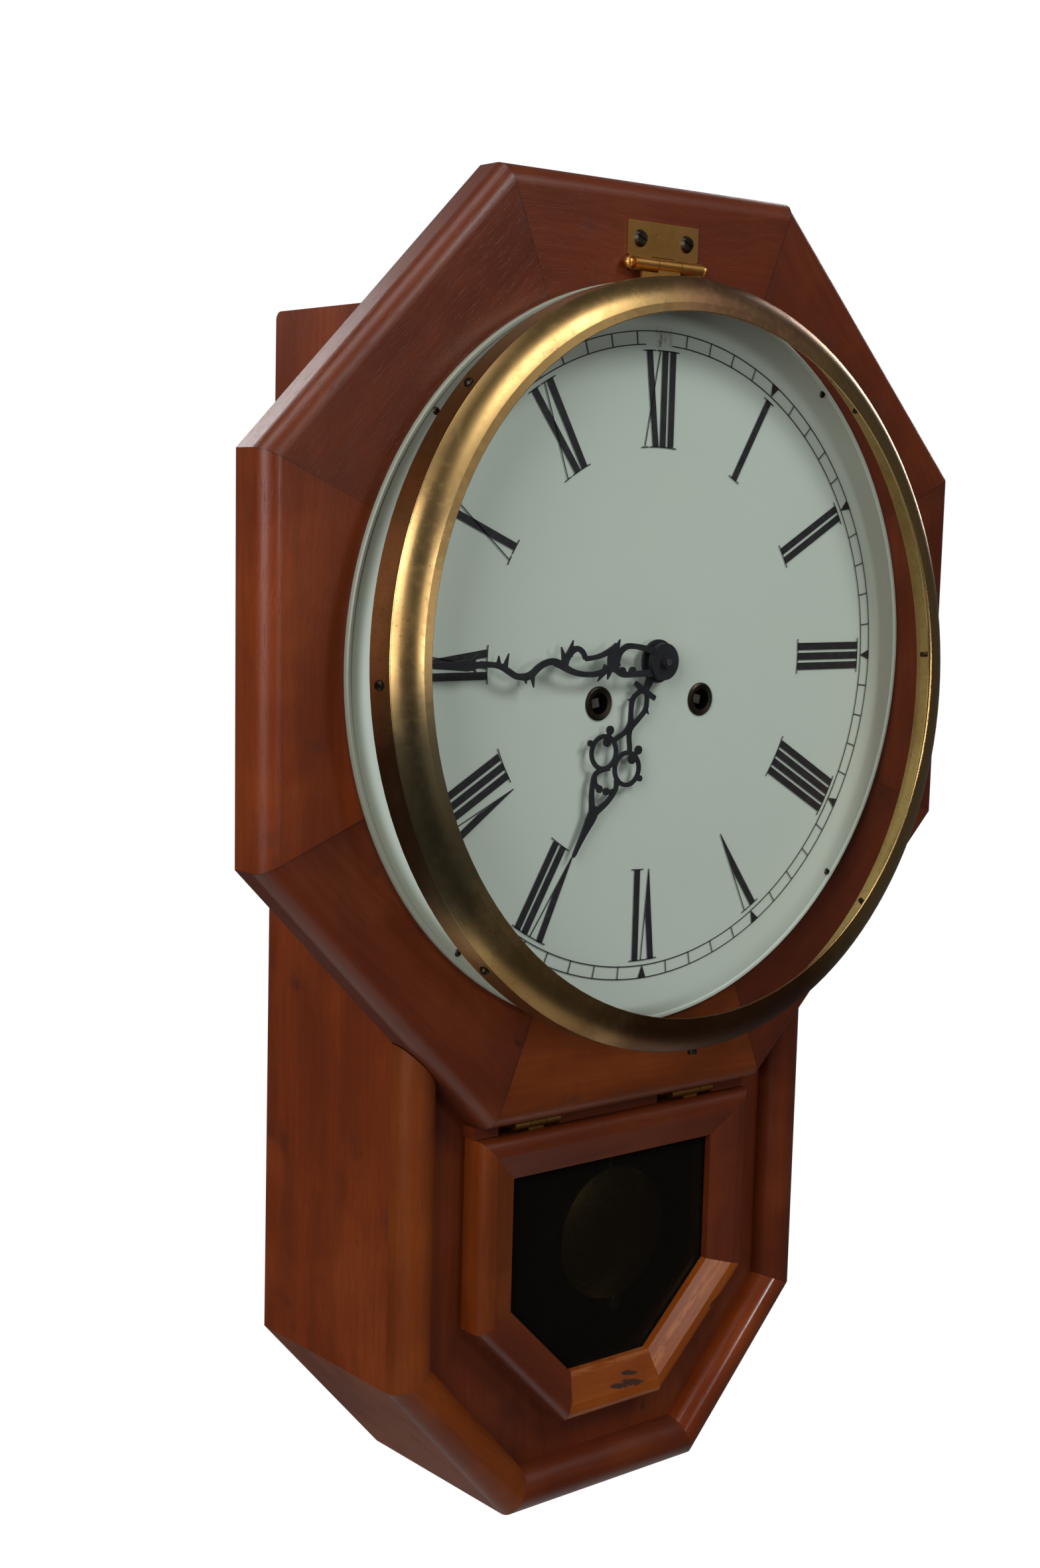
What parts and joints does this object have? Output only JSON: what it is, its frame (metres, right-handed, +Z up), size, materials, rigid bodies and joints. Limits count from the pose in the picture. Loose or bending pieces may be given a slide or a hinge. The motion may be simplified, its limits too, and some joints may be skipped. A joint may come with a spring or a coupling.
{
  "type": "pendulum wall clock",
  "caption": "Octagon-headed drop-case wall clock with a hinged brass bezel, painted Roman dial, scrolled hands, striking movement, pendulum and a small glazed door.",
  "frame": {"origin": "middle of the hanging hole in the plate at the top of the back", "axes": "+X to the viewer's right, +Y into the wall, +Z up"},
  "size_m": [0.4301, 0.1709, 0.6328],
  "materials": {
    "head_wood": "stained and varnished, worn satin",
    "moulding_wood": "stained and varnished",
    "case_wood": "stained and varnished",
    "panel_wood": "stained and varnished",
    "door_wood": "stained and varnished, worn",
    "inner_wood": "dark, unfinished",
    "dial_paint": "pale grey-green paint, satin",
    "bezel_brass": "polished, tarnished in patches",
    "aged_brass": "aged",
    "glass": "clear, clean",
    "dark_steel": "darkened",
    "hand_black": "matt black",
    "movement_brass": "lacquered",
    "steel": "plain",
    "gong_steel": "blued",
    "bob_brass": "dulled"
  },
  "bodies": {
    "case": {"back_board": "inner_wood", "bezel_hinge_upper": "aged_brass", "case_bottom": "case_wood", "case_panel_left": "case_wood", "case_panel_right": "case_wood", "case_screws": "dark_steel", "case_side_left": "case_wood", "case_side_right": "case_wood", "case_top": "case_wood", "dial_pan": "dial_paint", "door_hinge_fixed_left": "aged_brass", "door_hinge_fixed_right": "aged_brass", "front_panel": "panel_wood", "gong": "gong_steel", "hanger_plate": "steel", "head_bottom": "head_wood", "head_left": "head_wood", "head_lower_left": "head_wood", "head_lower_right": "head_wood", "head_right": "head_wood", "head_top": "head_wood", "head_upper_left": "head_wood", "head_upper_right": "head_wood", "header_strip": "panel_wood", "mould_bottom": "moulding_wood", "mould_left": "moulding_wood", "mould_lower_left": "moulding_wood", "mould_lower_right": "moulding_wood", "mould_right": "moulding_wood", "plate_back": "movement_brass", "plate_front": "movement_brass", "winding_eyelets": "dark_steel"},
    "bezel": {"bezel_ring": "bezel_brass", "bezel_glass": "glass", "bezel_retainer": "aged_brass", "bezel_screws": "dark_steel", "bezel_hinge_lower": "aged_brass"},
    "door": {"door_rail_bottom": "door_wood", "door_rail_left": "door_wood", "door_rail_lower_left": "door_wood", "door_rail_lower_right": "door_wood", "door_rail_right": "door_wood", "door_rail_top": "door_wood", "door_glass": "glass", "door_bead": "inner_wood", "door_hinge_moving_left": "aged_brass", "door_hinge_moving_right": "aged_brass"},
    "minute_train": {"centre_arbor": "steel", "minute_hand": "hand_black", "hand_nut": "hand_black"},
    "motion_wheel": {"minute_wheel": "movement_brass"},
    "hour_train": {"hour_wheel": "movement_brass", "hour_hand": "hand_black"},
    "time_wheel": {"time_great_wheel": "movement_brass"},
    "strike_wheel": {"strike_great_wheel": "movement_brass"},
    "time_winder": {"time_arbor": "steel"},
    "strike_winder": {"strike_arbor": "steel"},
    "pendulum": {"pendulum_rod": "steel", "pendulum_bob": "bob_brass"},
    "strike_hammer": {"hammer": "steel"}
  },
  "joints": [
    {"name": "bezel_open", "type": "hinge", "parent": "case", "child": "bezel", "pos_m": [0, -0.12505, 0.009], "axis": [-1, 0, 0], "range_deg": [0, 90]},
    {"name": "door_open", "type": "hinge", "parent": "case", "child": "door", "pos_m": [0, -0.10855, -0.39], "axis": [-1, 0, 0], "range_deg": [0, 55]},
    {"name": "minute_turn", "type": "hinge", "parent": "case", "child": "minute_train", "pos_m": [0, -0.12375, -0.172], "axis": [0, 1, 0], "continuous": true},
    {"name": "motion_wheel_turn", "type": "hinge", "parent": "case", "child": "motion_wheel", "pos_m": [0.02079, -0.09375, -0.16], "axis": [0, 1, 0], "continuous": true},
    {"name": "hour_turn", "type": "hinge", "parent": "case", "child": "hour_train", "pos_m": [0, -0.12375, -0.172], "axis": [0, 1, 0], "continuous": true},
    {"name": "time_wheel_turn", "type": "hinge", "parent": "case", "child": "time_wheel", "pos_m": [0.0325, -0.07075, -0.1912], "axis": [0, 1, 0], "continuous": true},
    {"name": "strike_wheel_turn", "type": "hinge", "parent": "case", "child": "strike_wheel", "pos_m": [-0.0325, -0.06375, -0.1912], "axis": [0, 1, 0], "continuous": true},
    {"name": "time_wind", "type": "hinge", "parent": "case", "child": "time_winder", "pos_m": [0.0325, -0.06375, -0.1912], "axis": [0, 1, 0], "continuous": true},
    {"name": "strike_wind", "type": "hinge", "parent": "case", "child": "strike_winder", "pos_m": [-0.0325, -0.06375, -0.1912], "axis": [0, 1, 0], "continuous": true},
    {"name": "pendulum_swing", "type": "hinge", "parent": "case", "child": "pendulum", "pos_m": [0, -0.08575, -0.121], "axis": [0, 1, 0], "range_deg": [0, 7]},
    {"name": "hammer_lift", "type": "hinge", "parent": "case", "child": "strike_hammer", "pos_m": [-0.044, -0.02675, -0.224], "axis": [0, 1, 0], "range_deg": [0, 12]}
  ],
  "couplings": [
    {"joint": "motion_wheel_turn", "follows": "minute_turn", "ratio": -0.33333},
    {"joint": "hour_turn", "follows": "minute_turn", "ratio": 0.083333},
    {"joint": "time_wheel_turn", "follows": "minute_turn", "ratio": -0.14286}
  ]
}
